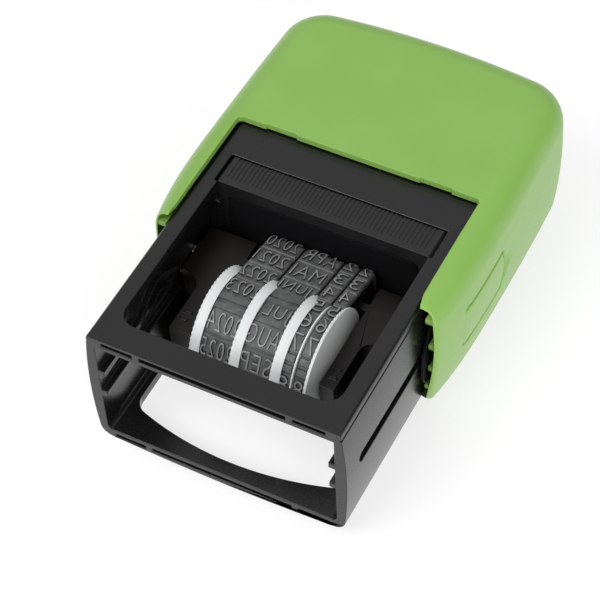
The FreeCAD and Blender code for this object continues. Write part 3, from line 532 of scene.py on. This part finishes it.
# Places of the entries: over the front as the photograph shows them, then the one at the nose that
# prints, and the rest of the list round the back
year_places = [5.9, 10.4, 14.9, 19.3, 22.7, 26.0, 30.2, 34.4, 38.6, 42.8, 0.0, -4.6, -9.1]
month_places = [6.1, 10.8, 15.3, 18.6, 21.8, 25.8, 30.0, 34.2, 38.4, 42.6, 0.0, -4.6, -9.3]
day_places = [5.3, 9.2, 13.1, 17.0, 20.8, 24.6, 28.0, 31.4, 35.2, 0.0, -4.3]
years = ["2020", "2021", "2022", "2023", "|", "2024", "2025", "2026", "2027", "2028", "2019", "2018", "2017"]
months = ["APR", "MAI", "JUNI", "|", "JULI", "AUG", "SEP", "OKT", "NOV", "DEZ", "MRZ", "FEB", "JAN"]
figures = ["2", "3", "4", "5", "6", "7", "|", "8", "9", "1", "0"]
# For each band: its low and high x, its words, their width and their places
bands = {
    "year_band": (-8.4, -2.25, years, 5.5, year_places),
    "month_band": (-1.85, 4.65, months, 5.4, month_places),
    "tens_band": (5.05, 7.55, figures, 1.75, day_places),
    "units_band": (7.9, 10.05, figures, 1.55, day_places),
}
# Lengths along the belt and heights in mm: plates, type, and the two ridges of a stop
word_plate, figure_plate = 4.05, 3.6
word_height, figure_height = 2.95, 2.7
narrow_one = 0.4
ridge_offset, ridge_length, ridge_height = 0.85, 1.25, 0.4
side_margin, ridge_margin = 0.14, 0.3
for band, (low, high, words, width, entry_places) in bands.items():
    made = []
    middle = (low + high) / 2
    of_words = words is not figures
    for word, s in zip(words, entry_places):
        deselect()
        if word == "|":
            # The stop between the last and the first entry: two flat ridges side by side
            for offset in (-ridge_offset, ridge_offset):
                ridge = plate_mesh(high - low - ridge_margin, ridge_length, ridge_height)
                lay_on_belt(ridge, middle, s + offset)
                ridge.data.materials.append(grey_rubber)
                made.append(ridge)
            continue
        plate = plate_mesh(high - low - side_margin, word_plate if of_words else figure_plate, plate_depth)
        lay_on_belt(plate, middle, s)
        plate.data.materials.append(grey_rubber)
        made.append(plate)
        deselect()
        # A figure one is a narrow stroke and isn't drawn out to the width of the others
        type_width = width * (narrow_one if word == "1" else 1.0)
        letters = type_mesh(word, type_width, word_height if of_words else figure_height)
        sides = [face.index for face in letters.data.polygons if abs(face.normal.z) < 0.5]
        lay_on_belt(letters, middle, s)
        # The letters' tops carry the painted highlight material and their side faces the painted shade
        # material
        letters.data.materials.clear()
        letters.data.materials.append(type_top_painted_highlight)
        letters.data.materials.append(type_side_painted_shade)
        for index in sides:
            letters.data.polygons[index].material_index = 1
        made.append(letters)
    deselect()
    for piece in made:
        piece.select_set(True)
    bpy.context.view_layer.objects.active = made[0]
    bpy.ops.object.join()
    type_piece = bpy.context.object
    type_piece.name = band + "_type"
    bpy.ops.object.shade_smooth_by_angle(angle=math.radians(30))
    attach(type_piece, "carrier")
    print(band, "carries", len(words), "entries,", len(type_piece.data.polygons), "faces")

# %% [markdown]
# ## Studio
# The stamp lies on a white sheet in a white room that is brightest overhead. Part of the sheet's white
# is a glow of its own, one share for the camera and one for reflections, so its shadows stay pale.
# The camera sees plain white behind the stamp.

# %% Floor and world
white = (1.0, 1.0, 1.0, 1.0)
glow_for_camera = 0.62
glow_in_reflections = 0.88
overhead = (-0.3, 0.3, 0.905)
level_low, level_high = 0.12, 0.75
bpy.ops.mesh.primitive_plane_add(size=4.0, location=(0, 0, -0.0001))
floor = bpy.context.object
floor.name = "studio_floor"
paper, tree = new_material("white_studio_paper")
light_path = add_node(tree, "ShaderNodeLightPath")
matt = add_node(tree, "ShaderNodeBsdfDiffuse", None, {"Color": linear("#F4F4F4")})
glow = add_node(tree, "ShaderNodeEmission", None, {"Color": white, "Strength": 1.12})
glossy = add_node(tree, "ShaderNodeMath", {"operation": "MULTIPLY"}, {
    0: light_path.outputs["Is Glossy Ray"], 1: glow_in_reflections})
share = add_node(tree, "ShaderNodeMath", {"operation": "MULTIPLY_ADD"}, {
    0: light_path.outputs["Is Camera Ray"], 1: glow_for_camera, 2: glossy.outputs["Value"]})
mix = add_node(tree, "ShaderNodeMixShader", None, {
    0: share.outputs["Value"], 1: matt.outputs["BSDF"], 2: glow.outputs["Emission"]})
add_node(tree, "ShaderNodeOutputMaterial", None, {"Surface": mix.outputs["Shader"]})
floor.data.materials.append(paper)

world = bpy.data.worlds.new("white_room")
bpy.context.scene.world = world
world.use_nodes = True
world.node_tree.nodes.clear()
tree = world.node_tree
light_path = add_node(tree, "ShaderNodeLightPath")
# The room is brightest overhead and falls off towards the horizon
direction = add_node(tree, "ShaderNodeTexCoord").outputs["Generated"]
toward = add_node(tree, "ShaderNodeVectorMath", {"operation": "DOT_PRODUCT"}, {0: direction, 1: overhead})
level = add_node(tree, "ShaderNodeMapRange", None, {
    "Value": toward.outputs["Value"], "From Min": 0.0, "From Max": 1.0,
    "To Min": level_low, "To Max": level_high})
room = add_node(tree, "ShaderNodeBackground", None, {"Color": white, "Strength": level.outputs["Result"]})
seen = add_node(tree, "ShaderNodeBackground", None, {"Color": white, "Strength": 1.0})
mix = add_node(tree, "ShaderNodeMixShader", None, {
    0: light_path.outputs["Is Camera Ray"], 1: room.outputs["Background"], 2: seen.outputs["Background"]})
add_node(tree, "ShaderNodeOutputWorld", None, {"Surface": mix.outputs["Shader"]})
bpy.context.scene.view_settings.view_transform = "Standard"
print("floor and world ready")

# %% Lamps
lamps_face = Vector((0, 0, 0.01))


def soft_box(name, location, size, power):
    lamp = bpy.data.lights.new(name, "AREA")
    lamp.shape = "SQUARE"
    lamp.size = size
    lamp.energy = power
    holder = bpy.data.objects.new(name, lamp)
    bpy.context.scene.collection.objects.link(holder)
    holder.location = location
    holder.rotation_euler = (lamps_face - Vector(location)).to_track_quat("-Z", "Y").to_euler()
    return holder


soft_box("front_softbox", (-0.25, -0.55, 0.75), 0.5, 4.6)
soft_box("right_softbox", (0.8, -0.4, 0.2), 0.5, 2.2)
# This one reaches the wheels' faces over the window's edge, and isn't mirrored in the plastics
wheel_light = soft_box("front_right_softbox", (0.6, -0.6, 0.55), 0.4, 3.2)
wheel_light.visible_glossy = False

# %% [markdown]
# ## Camera
# The photograph looks down at the stamp from the foot's right, at 30 degrees round and 51 degrees up,
# with a long lens and a slight roll. Those angles were worked out from the frame's straight edges.

# %% Camera
azimuth = math.radians(29.9)
elevation = math.radians(50.68)
roll = math.radians(-3.38)
distance = 0.3346
aim = place(4.66, 19.97, 0)
back = Vector((math.sin(azimuth) * math.cos(elevation), -math.cos(azimuth) * math.cos(elevation),
               math.sin(elevation)))
level_right = Vector((math.cos(azimuth), math.sin(azimuth), 0))
level_up = back.cross(level_right)
right = level_right * math.cos(roll) + level_up * math.sin(roll)
up = level_up * math.cos(roll) - level_right * math.sin(roll)
camera_data = bpy.data.cameras.new("photo_camera")
camera_data.sensor_width = 36.0
camera_data.lens = 132.0
camera = bpy.data.objects.new("photo_camera", camera_data)
bpy.context.scene.collection.objects.link(camera)
turn = Matrix((right, up, back)).transposed()
camera.matrix_world = Matrix.Translation(aim + back * distance) @ turn.to_4x4()
camera_data.clip_start = 0.01
bpy.context.scene.camera = camera
print("camera at", tuple(round(v, 3) for v in camera.location))

# %% Finish
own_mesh(spring)
